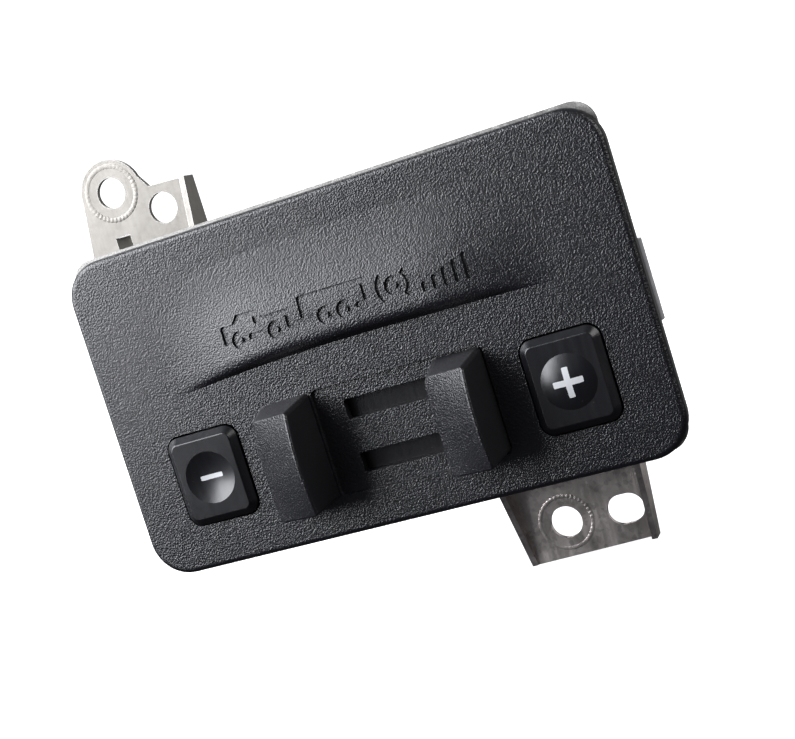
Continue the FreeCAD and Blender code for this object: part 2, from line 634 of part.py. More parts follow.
def upright(x, y, r, z0, z1):
    """A cylinder along Z."""
    return Part.makeCylinder(r, z1 - z0, V(x, y, z0))


def rivet(x, y, side):
    """A blind rivet through a bracket's foot and the case wall."""
    face = CASE_Z[1] if side > 0 else CASE_Z[0]
    outer = face + side * SHEET
    low, high = sorted((face - side * CASE_WALL, outer))
    shank = upright(x, y, RIVET_R, low, high)
    radius = 3.2
    ball = Part.makeSphere(radius, V(x, y, outer - side * (radius - 1.0)))
    head = ball.common(upright(x, y, 4, *sorted((outer, outer + side * 2))))
    return join(shank, head)


def make_side_clip():
    """A spring clip on the right of the frame: a flat root, a turn and a leaf that bows outwards."""
    side = FRAME_X[1]
    z = CLIP_Z
    root = box((side, side + CLIP_T), (8.0, 23.2), z)
    turn = box((side, side + 1.9), (23.2 - CLIP_T, 23.2), z)
    ends = ((side + 1.9, 23.2), (side + CLIP_BOW, 17.6), (side + 3.0, 11.0))
    outer = Part.Arc(*[V(x, y, z[0]) for x, y in ends])
    inner = Part.Arc(*[V(x - CLIP_T, y - 0.2, z[0]) for x, y in ends])
    curves = [outer.toShape(), inner.toShape()]
    for k in (0, -1):
        curves.append(Part.LineSegment(*[c.Vertexes[k].Point for c in curves[:2]]).toShape())
    outline = Part.Wire(Part.sortEdges(curves)[0])
    leaf = Part.Face(outline).extrude(V(0, 0, z[1] - z[0]))
    hole = bar(CLIP_RIVET_Y, CLIP_RIVET_Z, CLIP_RIVET_R, side - 1, side + 2)
    return cut(join(root, turn, leaf), hole)


def screw(x, z, r, tip, seat, head_r, head_t):
    """A screw along Y: its tip is at depth tip and its head sits on depth seat."""
    step = head_t if seat > tip else -head_t
    shank = post(x, z, r, *sorted((tip, seat)))
    head = post(x, z, head_r, *sorted((seat, seat + step)))
    top = seat + step
    rim = [e for e in head.Edges if all(abs(v.Y - top) < 1e-6 for v in e.Vertexes)]
    head = head.makeFillet(0.35 * head_t, rim)
    across, deep = 0.28 * head_r, 0.55 * head_t
    slot_y = sorted((top - math.copysign(deep, step), top + math.copysign(1, step)))
    recess = []
    for a, b in ((2 * across, 0.6 * across), (0.6 * across, 2 * across)):
        recess.append(box((x - a, x + a), slot_y, (z - b, z + b)))
    return cut(join(shank, head), *recess)


def board_parts():
    """What stands on the two boards, by node name."""
    back = CONTROL_Y + BOARD_T
    link_x, link_z = (-12.0, 3.0), (13.0, 17.6)
    link = [box(link_x, (back, back + 2.5), link_z), box(link_x, (POWER_Y - 2.5, POWER_Y), link_z)]
    pins = [(-10.4 + 2.36 * k, z) for k in range(6) for z in (14.1, 16.5)]
    chip = [box((-6, 6), (back, back + 1.4), (-13, -1))]
    chip += [box((16, 22), (back, back + 1.2), (-9, -4)), box((-24, -18), (back, back + 1.2), (2, 7))]
    caps = [post(x, z, 5.0, POWER_Y - 14, POWER_Y) for x, z in ((11, -12), (23, -9), (19, 4))]
    choke = Part.makeTorus(5.6, 2.2, V(-25, POWER_Y - 2.2, -3), BACK)
    shunt = box((-12, 0), (POWER_Y - 3.2, POWER_Y), (-17, -12))
    shunt = cut(shunt, box((-10.5, -1.5), (POWER_Y - 2.4, POWER_Y + 1), (-18, -11)))
    wall = CASE_Z[1] - CASE_WALL
    legs = POWER_Y - 9
    transistors = [box((x, x + 10), (legs - 4, legs + 5), (wall - 5.0, wall - 0.5)) for x in (-26, -13)]
    for x in (-26, -13):
        for k in (2.0, 4.6, 7.2):
            transistors.append(box((x + k, x + k + 0.8), (legs + 5, POWER_Y), (wall - 3.2, wall - 2.6)))
    pad = box((-27.5, -1.5), (legs - 5, legs + 5.5), (wall - 0.5, wall))
    sensor_x = (MAGNET_X - 2.2, MAGNET_X + 2.2)
    sensor = box(sensor_x, (CONTROL_Y - 0.9, CONTROL_Y), (PANEL_MID - 2.2, PANEL_MID + 2.2))
    leds = []
    for x in (-BUTTON_X, BUTTON_X):
        leds.append(box((x - 0.8, x + 0.8), (CONTROL_Y - 0.7, CONTROL_Y), (LED_Z - 0.5, LED_Z + 0.5)))
    pin_y = (back + 2.5, POWER_Y - 2.5)
    return {
        "board_header": link,
        "header_pins": [box((x - 0.32, x + 0.32), pin_y, (z - 0.32, z + 0.32)) for x, z in pins],
        "controller_chips": chip,
        "filter_capacitors": caps,
        "filter_choke": [choke],
        "shunt_resistor": [shunt],
        "power_transistors": transistors,
        "thermal_pad": [pad],
        "position_sensor": [sensor],
        "button_leds": leds,
    }


def make_gasket():
    ring_x = (FRAME_X[0] + FRAME_WALL, FRAME_X[1] - FRAME_WALL)
    ring_z = (FRAME_Z[0] + FRAME_WALL, FRAME_Z[1] - FRAME_WALL)
    outer = slab(FRAME_X, FRAME_Z, 4.0, FRAME_BACK, FRAME_BACK + GASKET_T)
    return cut(outer, slab(ring_x, ring_z, 2.0, FRAME_BACK - 1, FRAME_BACK + 2))


def lever_stops():
    """Rubber stops: a bumper for full braking and a thin pad for rest."""
    left_face = ROD_WALLS_X[0][1]
    full = CARRIAGE_X[0] - LEVER_TRAVEL - RUN_GAP
    rest = CARRIAGE_X[1] + RUN_GAP
    return [bar(ROD_Y, PANEL_MID, 2.4, left_face, full), bar(ROD_Y, PANEL_MID, 2.4, rest, ROD_WALLS_X[1][0])]


def make_label():
    return box((CASE_X[0] - 0.3, CASE_X[0]), (27, 55), (-12, 12))


def save_lever():
    """The nodes that slide with the brake lever."""
    seat = CARRIAGE_BACK - 1.7
    save("brake_lever", make_lever())
    save("lever_shutter", make_shutter())
    save("lever_carriage", make_carriage())
    save("lever_screws", *[screw(LEVER_SCREW_X, z, 1.0, -3.0, seat, 2.0, 1.4) for z in slot_rows()])
    save("sensor_magnet", post(MAGNET_X, PANEL_MID, 2.5, CARRIAGE_BACK - 1.6, CARRIAGE_BACK))


def save_buttons():
    for name, (body, mark) in (("minus", make_minus()), ("plus", make_plus())):
        save(f"{name}_button", body)
        save(f"{name}_mark", mark)
    for name, side in (("minus", -1), ("plus", 1)):
        save(f"{name}_dome", make_dome(side))


def save_screws():
    board_back = CONTROL_Y + BOARD_T
    bezel_set = [(x, z, SMALL_SCREW_R, BEZEL_SCREW_TIP, FLANGE_BACK, 2.3, 1.5) for x, z in BEZEL_SCREWS]
    board_set = [(x, z, SMALL_SCREW_R, WEB_Y[0] + 0.4, board_back, 2.2, 1.4) for x, z in board_screw_points()]
    power_set = [(x, z, 1.1, POWER_Y + BOARD_T + 8, POWER_Y, 2.4, 1.5) for x, z in power_posts()]
    case_set = [(x, z, 1.2, WEB_Y[1] + 0.5, CASE_SCREW_SEAT, 2.7, 2.4) for x, z in CASE_SCREWS]
    sets = {"bezel": bezel_set, "board": board_set, "power_board": power_set, "case": case_set}
    for name, sizes in sets.items():
        save(f"{name}_screws", *[screw(*size) for size in sizes])


def save_rivets():
    heads = [rivet(x, y, 1) for x, y in UPPER_RIVETS] + [rivet(x, y, -1) for x, y in LOWER_RIVETS]
    save("bracket_rivets", *heads)
    side = FRAME_X[1]
    shank = bar(CLIP_RIVET_Y, CLIP_RIVET_Z, CLIP_RIVET_R, side - FRAME_WALL, side + CLIP_T)
    head = bar(CLIP_RIVET_Y, CLIP_RIVET_Z, 2.2, side + CLIP_T, side + CLIP_T + 0.7)
    save("clip_rivet", join(shank, head))


def main():
    os.makedirs("parts", exist_ok=True)
    save("bezel", make_bezel())
    save("chassis_plate", make_chassis_plate())
    save("front_frame", make_frame())
    save_lever()
    save("guide_rods", *[bar(ROD_Y, z, ROD_R, ROD_WALLS_X[0][0], ROD_WALLS_X[1][1]) for z in rod_rows()])
    save("return_springs", *make_springs())
    save("lever_stops", *lever_stops())
    save_buttons()
    save("control_board", make_control_board())
    save("power_board", make_power_board())
    for name, shapes in board_parts().items():
        save(name, *shapes)
    save("case_gasket", make_gasket())
    save("rear_case", make_rear_case())
    save("connector_shell", make_connector())
    save("connector_pins", *[pin_box(x, z, 0.0) for x, z in pin_points()])
    save("rating_label", make_label())
    save("upper_bracket", make_upper_bracket())
    save("lower_bracket", make_lower_bracket())
    save("side_clip", make_side_clip())
    save_screws()
    save_rivets()


if __name__ == "__main__":
    main()
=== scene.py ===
"""Brake controller unit: finishes, small details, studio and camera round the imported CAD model."""
import math
import bpy
import bmesh
from mathutils import Matrix, Vector


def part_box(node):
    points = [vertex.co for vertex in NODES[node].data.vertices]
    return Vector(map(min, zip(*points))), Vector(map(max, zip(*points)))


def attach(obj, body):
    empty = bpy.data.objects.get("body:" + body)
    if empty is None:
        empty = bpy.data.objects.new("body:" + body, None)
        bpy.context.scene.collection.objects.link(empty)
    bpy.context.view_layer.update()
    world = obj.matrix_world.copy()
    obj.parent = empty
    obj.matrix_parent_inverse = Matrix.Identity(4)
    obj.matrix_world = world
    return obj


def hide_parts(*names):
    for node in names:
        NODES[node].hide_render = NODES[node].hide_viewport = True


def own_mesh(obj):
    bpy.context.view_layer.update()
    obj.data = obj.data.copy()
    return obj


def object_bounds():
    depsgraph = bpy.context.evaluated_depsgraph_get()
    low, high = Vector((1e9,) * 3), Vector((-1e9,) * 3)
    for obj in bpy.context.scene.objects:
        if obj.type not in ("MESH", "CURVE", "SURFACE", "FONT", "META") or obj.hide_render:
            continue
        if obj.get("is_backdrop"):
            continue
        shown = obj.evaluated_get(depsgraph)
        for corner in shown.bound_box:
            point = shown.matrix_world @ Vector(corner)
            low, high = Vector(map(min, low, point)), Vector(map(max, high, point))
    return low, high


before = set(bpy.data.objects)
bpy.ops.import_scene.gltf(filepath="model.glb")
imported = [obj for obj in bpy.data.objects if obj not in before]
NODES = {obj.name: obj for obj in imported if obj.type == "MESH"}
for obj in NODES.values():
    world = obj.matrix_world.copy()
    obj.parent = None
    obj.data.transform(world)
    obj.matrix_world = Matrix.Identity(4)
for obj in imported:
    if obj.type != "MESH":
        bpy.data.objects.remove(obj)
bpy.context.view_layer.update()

MM = 0.001

# ---------------------------------------------------------------- materials


class Finish:
    """A procedural material, built on one of the frame's material slots or on a new name."""

    def __init__(self, name, roughness=0.5, **sockets):
        self.material = bpy.data.materials.get(name) or bpy.data.materials.new(name)
        self.material.use_nodes = True
        self.tree = self.material.node_tree
        self.tree.nodes.clear()
        self.shader = self.add("BsdfPrincipled", Roughness=roughness, **sockets)
        output = self.add("OutputMaterial")
        self.tree.links.new(self.shader.outputs[0], output.inputs["Surface"])
        self.place = self.add("TexCoord").outputs["Object"]
        self.geometry = self.add("NewGeometry")
        self.relief = None

    def set(self, node, socket, value):
        """Sets a socket to a number or colour, or links it to another node's output."""
        if isinstance(value, bpy.types.NodeSocket):
            self.tree.links.new(value, node.inputs[socket])
        elif isinstance(value, tuple) and len(value) == 3 and node.inputs[socket].type == "RGBA":
            node.inputs[socket].default_value = (*value, 1.0)
        else:
            node.inputs[socket].default_value = value

    def add(self, kind, props=(), **sockets):
        """Adds a shader node. Underscores in the socket names stand for spaces."""
        node = self.tree.nodes.new("ShaderNode" + kind)
        for key, value in dict(props).items():
            setattr(node, key, value)
        for key, value in sockets.items():
            self.set(node, key.replace("_", " "), value)
        return node

    def stretched(self, x, y, z):
        """The place coordinates, scaled along each axis."""
        return self.add("Mapping", Vector=self.place, Scale=(x, y, z)).outputs[0]

    def noise(self, size, detail=2.0, rough=0.5, warp=0.0, at=None):
        """Smooth noise from 0 to 1, its features about this many millimetres across."""
        node = self.add("TexNoise", Vector=at or self.place, Scale=1 / (size * MM), Detail=detail,
                        Roughness=rough, Distortion=warp)
        return node.outputs["Fac"]

    def cells(self, size, feature="F1", at=None, output="Distance", **sockets):
        """Voronoi cells about this many millimetres across."""
        node = self.add("TexVoronoi", {"feature": feature}, Vector=at or self.place,
                        Scale=1 / (size * MM), **sockets)
        return node.outputs[output]

    def span(self, value, low, high, to_low=0.0, to_high=1.0):
        """Maps a value from one range to another, clamped."""
        node = self.add("MapRange", {"clamp": True}, Value=value, From_Min=low, From_Max=high,
                        To_Min=to_low, To_Max=to_high)
        return node.outputs[0]

    def math(self, operation, a, b=0.0):
        node = self.add("Math", {"operation": operation})
        self.set(node, 0, a)
        self.set(node, 1, b)
        return node.outputs[0]

    def mix(self, factor, a, b):
        """A colour between a and b."""
        node = self.add("Mix", {"data_type": "RGBA"})
        self.set(node, 0, factor)
        self.set(node, 6, a)
        self.set(node, 7, b)
        return node.outputs[2]

    def axis(self, vector, name):
        return self.add("SeparateXYZ", Vector=vector).outputs[name]

    def edges(self, radius):
        """0 on flat surfaces, rising to 1 on convex and concave edges within this many millimetres."""
        soft = self.add("Bevel", {"samples": 6}, Radius=radius * MM)
        node = self.add("VectorMath", {"operation": "DOT_PRODUCT"})
        self.set(node, 0, soft.outputs[0])
        self.set(node, 1, self.geometry.outputs["Normal"])
        return self.span(node.outputs["Value"], 0.97, 0.75)

    def bump(self, height, depth):
        """Adds relief, this many millimetres deep, on top of the relief already there."""
        node = self.add("Bump", Height=height, Distance=depth * MM, Strength=1.0)
        if self.relief:
            self.set(node, "Normal", self.relief)
        self.relief = node.outputs[0]
        self.set(self.shader, "Normal", self.relief)

    def colour(self, value):
        self.set(self.shader, "Base Color", value)

    def rough(self, value):
        self.set(self.shader, "Roughness", value)


def grained_plastic(name):
    """Charcoal ABS with a moulded pebble grain on its front faces and plain draft faces."""
    f = Finish(name, 0.4, Specular_IOR_Level=1.0)
    facing = f.math("ABSOLUTE", f.axis(f.geometry.outputs["Normal"], "Y"))
    grained = f.span(facing, 0.35, 0.7)
    swirl = f.add("TexNoise", Vector=f.place, Scale=1 / (0.48 * MM), Detail=1.0)
    drift = f.add("VectorMath", {"operation": "SCALE"}, Scale=0.35 * MM)
    f.set(drift, 0, swirl.outputs["Color"])
    wander = f.add("VectorMath", {"operation": "ADD"})
    f.set(wander, 0, f.place)
    f.set(wander, 1, drift.outputs[0])
    pebbles = f.cells(0.34, "SMOOTH_F1", at=wander.outputs[0], Smoothness=0.7, Randomness=1.0)
    heights = f.math("ADD", f.span(pebbles, 0.0, 0.75, 1.0, 0.0), f.noise(0.22, 1.0))
    grain = f.math("MULTIPLY", heights, grained)
    f.bump(grain, 0.062)
    f.bump(f.noise(0.09, 1.0), 0.004)
    # Lighter edges toward (0.055, 0.056, 0.062): partly rubbed wear, partly a painted highlight for the
    # light rims that rounded edges catch.
    wear_and_edge_highlight = f.math("MULTIPLY", f.edges(0.5), f.noise(2.5, 4.0))
    mottled = f.mix(f.noise(9.0, 4.0, 0.6), (0.0022, 0.0022, 0.0042), (0.0042, 0.0042, 0.0068))
    f.colour(f.mix(f.span(wear_and_edge_highlight, 0.25, 0.8), mottled, (0.055, 0.056, 0.062)))
    handled = f.span(f.noise(14.0, 5.0, 0.65), 0.3, 0.7, -0.012, 0.012)
    valleys = f.span(grain, 0.7, 1.3, 0.32, 0.285)
    plain = f.span(facing, 0.35, 0.7, 0.22, 0.0)
    f.rough(f.math("ADD", f.math("ADD", valleys, plain), handled))


def smooth_plastic(name, dark, light, low, high, specks=0.0):
    """Moulded plastic without grain: faint flow marks, fine scuffs and a few specks of dust."""
    f = Finish(name, low, Specular_IOR_Level=0.8)
    f.bump(f.noise(0.12, 2.0), 0.003)
    f.bump(f.noise(4.0, 2.0), 0.02)
    scuffs = f.noise(1.2, 3.0, at=f.stretched(1.0, 1.0, 0.12))
    f.rough(f.span(scuffs, 0.35, 0.7, low, high))
    base = f.mix(f.noise(6.0, 4.0), dark, light)
    # Lighter edges: partly rubbed wear, partly a painted edge highlight.
    wear_and_edge_highlight = f.span(f.math("MULTIPLY", f.edges(0.35), f.noise(1.5, 4.0)), 0.25, 0.8, 0.0, 0.5)
    base = f.mix(wear_and_edge_highlight, base, tuple(min(1.0, 2.5 * c + 0.02) for c in light))
    if specks:
        dust = f.span(f.cells(0.9, Randomness=1.0), 0.10, 0.05)
        thin = f.span(f.noise(3.0, 2.0), 0.62, 0.66)
        dust = f.math("MULTIPLY", f.math("MULTIPLY", dust, thin), specks)
        base = f.mix(dust, base, (0.30, 0.24, 0.20))
    f.colour(base)


def sheet_zinc(name, dark, light, low, high, shade=0.5):
    """Zinc-plated sheet: cloudy passivation, rolling lines, small scratches and rubbed edges."""
    f = Finish(name, low, Metallic=1.0)
    clouds = f.noise(5.5, 5.0, 0.62, 0.6)
    flecks = f.cells(0.8, output="Color", Randomness=1.0)
    fleck = f.axis(flecks, "X")
    base = f.mix(f.span(clouds, 0.34, 0.66), dark, light)
    base = f.mix(f.math("MULTIPLY", f.span(fleck, 0.72, 1.0), shade), base, tuple(0.62 * c for c in dark))
    stains = f.span(f.noise(1.3, 6.0, 0.7), 0.60, 0.74, 0.0, 0.55)
    base = f.mix(stains, base, (0.30, 0.27, 0.24))
    base = f.mix(f.span(f.edges(0.35), 0.2, 1.0, 0.0, 0.6), base, (0.86, 0.86, 0.85))
    f.colour(base)
    lines = f.noise(0.7, 3.0, at=f.stretched(1.0, 1.0, 0.05))
    f.rough(f.math("ADD", f.span(clouds, 0.3, 0.7, low, high), f.span(lines, 0.4, 0.8, 0.0, 0.10)))
    f.bump(f.noise(3.5, 3.0), 0.035)
    f.bump(lines, 0.006)
    f.bump(f.noise(0.25, 3.0), 0.006)
    return f


def spangled(name):
    """Galvanised plate with its frosty spangle."""
    f = Finish(name, 0.4, Metallic=1.0)
    spangle = f.axis(f.cells(1.4, output="Color", Randomness=1.0), "X")
    frost = f.noise(0.35, 4.0, 0.7)
    base = f.mix(spangle, (0.36, 0.36, 0.345), (0.60, 0.59, 0.565))
    f.colour(f.mix(f.span(frost, 0.45, 0.62), base, (0.29, 0.28, 0.27)))
    f.rough(f.span(spangle, 0.0, 1.0, 0.42, 0.62))
    f.bump(f.math("ADD", spangle, frost), 0.02)


def turned_metal(name, dark, light, low, high, line=0.18):
    """Turned, ground or drawn metal with a fine texture and handling marks."""
    f = Finish(name, low, Metallic=1.0)
    f.colour(f.mix(f.noise(1.6, 4.0), dark, light))
    f.rough(f.span(f.noise(0.8, 4.0), 0.3, 0.7, low, high))
    f.bump(f.noise(line, 2.0), 0.004)
    f.bump(f.noise(1.2, 2.0), 0.006)


def cast_metal(name):
    """Die-cast aluminium: fine cast skin, flow marks and rubbed fin edges."""
    f = Finish(name, 0.5, Metallic=1.0)
    flow = f.noise(7.0, 5.0, 0.6, 1.2)
    base = f.mix(flow, (0.38, 0.385, 0.39), (0.58, 0.58, 0.575))
    pits = f.span(f.noise(0.4, 3.0, 0.6), 0.36, 0.30)
    base = f.mix(f.math("MULTIPLY", pits, 0.6), base, (0.16, 0.16, 0.16))
    f.colour(f.mix(f.span(f.edges(0.4), 0.2, 1.0, 0.0, 0.7), base, (0.78, 0.78, 0.77)))
    f.rough(f.span(flow, 0.3, 0.7, 0.42, 0.58))
    f.bump(f.noise(0.5, 4.0, 0.6), 0.03)
    f.bump(f.noise(0.16, 2.0), 0.008)


def soft_rubber(name, dark, light, low, high, **sockets):
    """Rubber, silicone or pad material with a dusty matt skin."""
    f = Finish(name, low, **sockets)
    f.colour(f.mix(f.noise(2.5, 4.0), dark, light))
    f.rough(f.span(f.noise(0.6, 3.0), 0.3, 0.7, low, high))
    f.bump(f.noise(0.3, 3.0), 0.012)


def circuit_board(name):
    """Green solder mask over copper tracks, with the weave of the laminate just showing."""
    f = Finish(name, 0.3, Coat_Weight=0.4, Coat_Roughness=0.15)
    facing_front = f.add("Mapping", Vector=f.place, Rotation=(math.pi / 2, 0, 0)).outputs[0]
    tracks = f.add("TexBrick", Vector=facing_front, Scale=1 / (3.2 * MM), Mortar_Size=0.05,
                   Mortar_Smooth=0.1).outputs["Fac"]
    weave = f.add("TexWave", Vector=f.place, Scale=1 / (2.4 * MM), Distortion=1.5).outputs["Fac"]
    ground = f.mix(weave, (0.010, 0.095, 0.040), (0.014, 0.115, 0.050))
    f.colour(f.mix(f.span(tracks, 0.4, 0.6, 0.0, 0.8), ground, (0.030, 0.20, 0.085)))
    f.rough(f.span(f.noise(1.5, 3.0), 0.3, 0.7, 0.24, 0.36))
    f.bump(tracks, 0.02)


grained_plastic("bezel_abs")
grained_plastic("lever_abs")
smooth_plastic("smooth_abs", (0.0030, 0.0030, 0.0046), (0.0050, 0.0050, 0.0068), 0.29, 0.36, specks=0.9)
smooth_plastic("frame_nylon", (0.016, 0.016, 0.017), (0.026, 0.026, 0.027), 0.42, 0.58)
smooth_plastic("acetal", (0.50, 0.49, 0.46), (0.58, 0.57, 0.53), 0.30, 0.42)
smooth_plastic("button_abs", (0.0045, 0.0046, 0.0064), (0.0070, 0.0071, 0.0092), 0.285, 0.35, specks=0.35)
smooth_plastic("mark_white", (0.72, 0.74, 0.75), (0.82, 0.84, 0.85), 0.38, 0.48)
smooth_plastic("connector_nylon", (0.014, 0.014, 0.015), (0.024, 0.024, 0.026), 0.36, 0.50)
smooth_plastic("chip_black", (0.018, 0.018, 0.018), (0.030, 0.030, 0.030), 0.55, 0.70)
smooth_plastic("capacitor_sleeve", (0.012, 0.016, 0.030), (0.018, 0.024, 0.046), 0.22, 0.32)
smooth_plastic("label_film", (0.55, 0.56, 0.57), (0.64, 0.65, 0.66), 0.32, 0.42)
sheet_zinc("zinc_plated_steel", (0.30, 0.284, 0.258), (0.415, 0.397, 0.364), 0.42, 0.56, shade=0.12)
# The lower bracket gets its own copy of the zinc plating, glossier and with a warmer, brighter colour;
# its warm brownish tint is a painted reflection.
lower_zinc_painted_reflection = sheet_zinc("lower_zinc_painted_reflection", (0.70, 0.63, 0.585), (0.95, 0.87, 0.82), 0.27, 0.37)
NODES["lower_bracket"].data.materials[0] = lower_zinc_painted_reflection.material
spangled("galvanised_steel")
turned_metal("spring_steel", (0.30, 0.30, 0.31), (0.46, 0.46, 0.47), 0.26, 0.38)
turned_metal("ground_steel", (0.55, 0.55, 0.56), (0.68, 0.68, 0.69), 0.14, 0.24)
turned_metal("nickel_magnet", (0.60, 0.58, 0.53), (0.70, 0.68, 0.62), 0.16, 0.28)
turned_metal("screw_steel", (0.40, 0.40, 0.41), (0.58, 0.58, 0.58), 0.24, 0.36)
turned_metal("rivet_aluminium", (0.60, 0.60, 0.60), (0.74, 0.74, 0.73), 0.30, 0.42)
turned_metal("pin_brass", (0.72, 0.52, 0.24), (0.86, 0.64, 0.32), 0.18, 0.30)
turned_metal("choke_copper", (0.52, 0.20, 0.09), (0.68, 0.29, 0.14), 0.24, 0.36, line=0.4)
cast_metal("cast_aluminium")
soft_rubber("stop_rubber", (0.014, 0.014, 0.014), (0.028, 0.028, 0.028), 0.62, 0.80)
soft_rubber("silicone", (0.50, 0.50, 0.49), (0.62, 0.62, 0.60), 0.40, 0.55, Subsurface_Weight=0.3)
soft_rubber("thermal_silicone", (0.30, 0.31, 0.34), (0.40, 0.41, 0.44), 0.60, 0.75)
soft_rubber("led_clear", (0.70, 0.70, 0.66), (0.80, 0.80, 0.76), 0.10, 0.18, Transmission_Weight=0.5)
circuit_board("board_green")

# ---------------------------------------------------------------- pieces


def piece(name, mesh, body, slot):
    """Makes a smooth-shaded object from a bmesh, gives it a record slot and rides it on a body."""
    bmesh.ops.recalc_face_normals(mesh, faces=mesh.faces)
    for face in mesh.faces:
        face.smooth = True
    data = bpy.data.meshes.new(name)
    mesh.to_mesh(data)
    mesh.free()
    data.set_sharp_from_angle(angle=math.radians(35))
    data.materials.append(bpy.data.materials[slot])
    obj = bpy.data.objects.new(name, data)
    bpy.context.scene.collection.objects.link(obj)
    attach(obj, body)
    return obj


def skin(mesh, rings, capped=False, endless=False):
    """Joins rings of points with quads; capped closes the ends, endless joins the last to the first."""
    rows = [[mesh.verts.new(p) for p in ring] for ring in rings]
    if endless:
        rows.append(rows[0])
    for a, b in zip(rows, rows[1:]):
        for k in range(len(a)):
            n = (k + 1) % len(a)
            mesh.faces.new((a[k], b[k], b[n], a[n]))
    if capped:
        mesh.faces.new(rows[0])
        mesh.faces.new(list(reversed(rows[-1])))


def coil(mesh, start, length, radius, wire, turns):
    """A compression spring along X, its end turns closed up."""
    steps, sides, closed = 32, 12, 0.9
    tight = 2.15 * wire
    free = (length - 2 * wire - 2 * closed * tight) / (turns - 2 * closed)
    rings = []
    reach = wire
    for k in range(turns * steps + 1):
        turn = k / steps
        if k:
            near_end = min(turn, turns - turn) < closed
            reach += (tight if near_end else free) / steps
        angle = 2 * math.pi * turn
        out = Vector((0, math.cos(angle), math.sin(angle)))
        middle = start + Vector((reach, 0, 0)) + radius * out
        ring = []
        for side in range(sides):
            t = 2 * math.pi * side / sides
            ring.append(middle + wire * (math.cos(t) * out + math.sin(t) * Vector((1, 0, 0))))
        rings.append(ring)
    skin(mesh, rings, capped=True)


def return_springs():
    """Two springs on the rods (in the real unit they close up as the lever slides; here they are fixed
    coils).
    """
    low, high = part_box("return_springs")
    outer = (high.y - low.y) / 2
    wire, turns = 0.35 * MM, 8
    mesh = bmesh.new()
    for z in (low.z + outer, high.z - outer):
        start = Vector((low.x, low.y + outer, z))
        coil(mesh, start, high.x - low.x, outer - wire, wire, turns)
    obj = piece("coil_springs", mesh, "module", "spring_steel")
    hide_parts("return_springs")
    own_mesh(obj)


def turned(mesh, centre, profile, sides=64):
    """A closed body of revolution about Y, from (radius, depth) points in millimetres."""
    rings = []
    for radius, depth in profile:
        ring = []
        for k in range(sides):
            a = 2 * math.pi * k / sides
            ring.append(centre + MM * Vector((radius * math.cos(a), depth, radius * math.sin(a))))
        rings.append(ring)
    skin(mesh, rings, endless=True)


def button_domes():
    """A silicone dome under each button, with a thin web (the part that folds when the button is pressed;
    the mesh here stays fixed).
    """
    for side in ("minus", "plus"):
        low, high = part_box(side + "_dome")
        deep = (high.y - low.y) / MM
        foot = (high.x - low.x) / 2 / MM
        top = Vector(((low.x + high.x) / 2, low.y, (low.z + high.z) / 2))
        profile = [(0.9, 0.25), (1.2, 0.0), (1.9, 0.0), (2.25, 0.2), (2.4, 0.5), (2.55, 0.85)]
        profile += [(3.3, deep - 0.9), (3.6, deep - 0.55), (foot - 0.15, deep - 0.45), (foot, deep - 0.3)]
        profile += [(foot, deep), (2.95, deep), (2.9, deep - 0.75), (2.2, 1.2), (1.6, 0.95), (0.9, 0.95)]
        mesh = bmesh.new()
        turned(mesh, top, profile)
        obj = piece(side + "_silicone_dome", mesh, "module", "silicone")
        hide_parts(side + "_dome")
        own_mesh(obj)


def serrations(name, hole, inner, outer, deepest, slot):
    """The ring of radial marks a serrated screw head pressed in: deep on one side, faint opposite."""
    teeth, per_tooth = 40, 8
    sunk, proud, slope = 0.02, 0.03, 0.12
    radii = (inner, inner + slope, (inner + outer) / 2, outer - slope, outer)
    rings = []
    for step, radius in enumerate(radii):
        edge = step in (0, len(radii) - 1)
        ring = []
        for k in range(teeth * per_tooth):
            a = 2 * math.pi * k / (teeth * per_tooth)
            tooth = 0.5 + 0.5 * math.cos(teeth * a)
            strength = 0.15 + 0.85 * (0.5 + 0.5 * math.cos(a - math.radians(deepest))) ** 1.5
            uneven = 0.75 + 0.25 * math.sin(7 * a)
            depth = sunk if edge else sunk - proud - TOOTH_HEIGHT * tooth * strength * uneven
            ring.append(Vector((hole[0] + radius * MM * math.cos(a), TAB_FACE + depth * MM,
                                hole[1] + radius * MM * math.sin(a))))
        rings.append(ring)
    mesh = bmesh.new()
    skin(mesh, rings)
    return piece(name, mesh, "module", slot)


SCREW_HOLE = (0.03765, -0.04635)
TAB_FACE = -0.0012
TOOTH_HEIGHT = 0.06
return_springs()
button_domes()
serrations("upper_serrations", (-SCREW_HOLE[0], -SCREW_HOLE[1]), 5.2, 6.4, -70, "zinc_plated_steel")
lower_ring = serrations("lower_serrations", SCREW_HOLE, 5.0, 5.95, 50, "zinc_plated_steel")
# The lower ring takes the lower bracket's zinc copy with its painted reflection tint.
lower_ring.data.materials[0] = lower_zinc_painted_reflection.material

# ---------------------------------------------------------------- studio

BEZEL_MIDDLE = Vector((0.0135, -0.021, 0.0))
CAMERA_LENS = 70.05
CAMERA_PLACE = (0.12015, -0.30153, 0.02110)
CAMERA_AHEAD = (-0.33575, 0.93787, -0.08755)
CAMERA_ROLL = -17.46


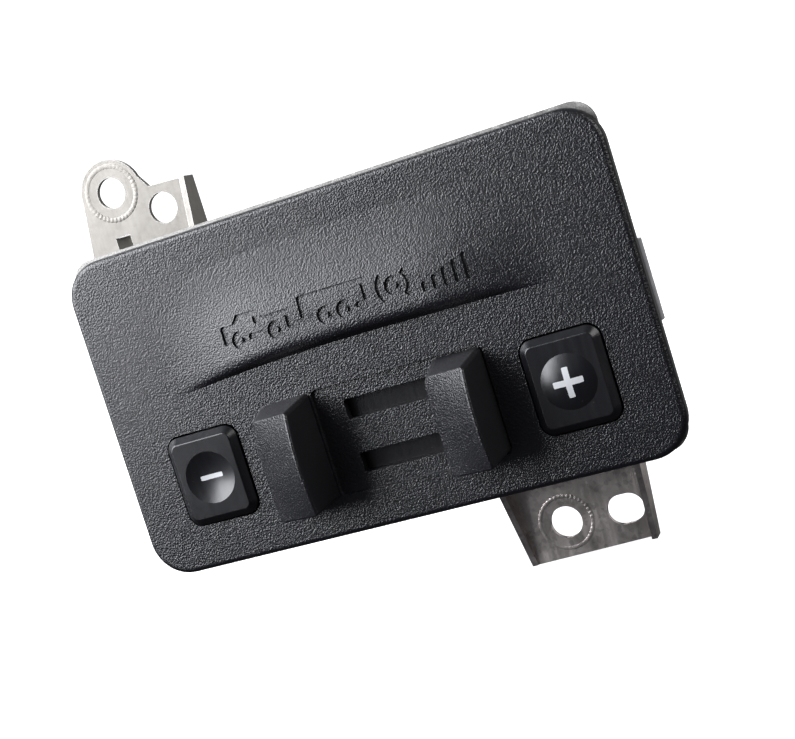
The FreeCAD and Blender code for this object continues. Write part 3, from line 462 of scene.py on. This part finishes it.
def sweep():
    """A pale floor that turns up all round into a backdrop, so no side shows an edge."""
    lowest = min(v.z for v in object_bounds())
    flat, turn, top, sides = 0.9, 0.6, 2.2, 96
    profile = [(0.0, 0.0), (0.3, 0.0), (flat, 0.0)]
    for step in range(1, 13):
        angle = math.radians(7.5 * step)
        profile.append((flat + turn * math.sin(angle), turn - turn * math.cos(angle)))
    profile.append((flat + turn, top))
    mesh = bmesh.new()
    rings = []
    for radius, height in profile:
        ring = [mesh.verts.new((radius * math.cos(a), radius * math.sin(a), lowest + height))
                for a in (2 * math.pi * k / sides for k in range(sides if radius else 1))]
        rings.append(ring)
    for inner, outer in zip(rings, rings[1:]):
        for k in range(sides):
            n = (k + 1) % sides
            corners = [inner[k % len(inner)], outer[k], outer[n], inner[n % len(inner)]]
            mesh.faces.new(corners if len(inner) > 1 else corners[:3])
    for face in mesh.faces:
        face.smooth = True
    data = bpy.data.meshes.new("sweep")
    mesh.to_mesh(data)
    mesh.free()
    floor = bpy.data.objects.new("sweep", data)
    bpy.context.scene.collection.objects.link(floor)
    paper = Finish("sweep_paper", 0.9, Emission_Color=(1.0, 1.0, 1.0), Emission_Strength=1.0)
    paper.colour(paper.mix(paper.noise(400.0, 2.0), (0.80, 0.80, 0.80), (0.84, 0.84, 0.84)))
    data.materials.append(paper.material)
    floor.visible_glossy = False
    floor.visible_diffuse = False
    floor.visible_shadow = False
    floor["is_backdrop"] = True


def lamp(name, across, up, distance, width, height, power, colour=(1.0, 1.0, 1.0)):
    """A soft box facing the bezel: degrees across from straight ahead (left is negative) and up."""
    light = bpy.data.lights.new(name, "AREA")
    light.shape = "RECTANGLE"
    light.size = width
    light.size_y = height
    light.energy = power
    light.color = colour
    obj = bpy.data.objects.new(name, light)
    a, e = math.radians(across), math.radians(up)
    out = Vector((math.sin(a) * math.cos(e), -math.cos(a) * math.cos(e), math.sin(e)))
    obj.location = BEZEL_MIDDLE + distance * out
    obj.rotation_mode = "QUATERNION"
    obj.rotation_quaternion = (-out).to_track_quat("-Z", "Y")
    bpy.context.scene.collection.objects.link(obj)


def surroundings():
    """A dim room, brighter above and to the left."""
    world = bpy.data.worlds.new("room")
    bpy.context.scene.world = world
    world.use_nodes = True
    tree = world.node_tree
    tree.nodes.clear()
    place = tree.nodes.new("ShaderNodeTexCoord")
    along = tree.nodes.new("ShaderNodeVectorMath")
    along.operation = "DOT_PRODUCT"
    along.inputs[1].default_value = Vector((-0.62, -0.15, 0.77)).normalized()
    tree.links.new(place.outputs["Generated"], along.inputs[0])
    ramp = tree.nodes.new("ShaderNodeValToRGB")
    ramp.color_ramp.elements[0].position = 0.55
    ramp.color_ramp.elements[0].color = (0.034, 0.035, 0.040, 1.0)
    ramp.color_ramp.elements[1].position = 1.0
    ramp.color_ramp.elements[1].color = (0.24, 0.25, 0.27, 1.0)
    half = tree.nodes.new("ShaderNodeMapRange")
    half.inputs["From Min"].default_value = -1.0
    tree.links.new(along.outputs["Value"], half.inputs["Value"])
    tree.links.new(half.outputs[0], ramp.inputs[0])
    background = tree.nodes.new("ShaderNodeBackground")
    tree.links.new(ramp.outputs[0], background.inputs[0])
    output = tree.nodes.new("ShaderNodeOutputWorld")
    tree.links.new(background.outputs[0], output.inputs[0])


def camera():
    """The viewpoint: in front, to the right and a little above, with the camera rolled."""
    data = bpy.data.cameras.new("camera")
    data.sensor_width = 36.0
    data.lens = CAMERA_LENS
    obj = bpy.data.objects.new("camera", data)
    obj.location = CAMERA_PLACE
    obj.rotation_mode = "QUATERNION"
    roll = Matrix.Rotation(math.radians(CAMERA_ROLL), 4, "Z").to_quaternion()
    obj.rotation_quaternion = Vector(CAMERA_AHEAD).to_track_quat("-Z", "Y") @ roll
    bpy.context.scene.collection.objects.link(obj)
    bpy.context.scene.camera = obj


sweep()
surroundings()
lamp("key", -53.0, 26.0, 1.0, 0.81, 0.93, 20.0, (0.94, 0.955, 1.0))
lamp("back_fill", 158.0, 4.0, 1.2, 0.8, 0.8, 0.9)
lamp("rear", -150.0, 35.0, 1.2, 1.0, 0.8, 7.0)
lamp("side_fill", 75.0, 25.0, 1.0, 0.6, 0.6, 3.0)
camera()
bpy.context.scene.view_settings.view_transform = "Standard"
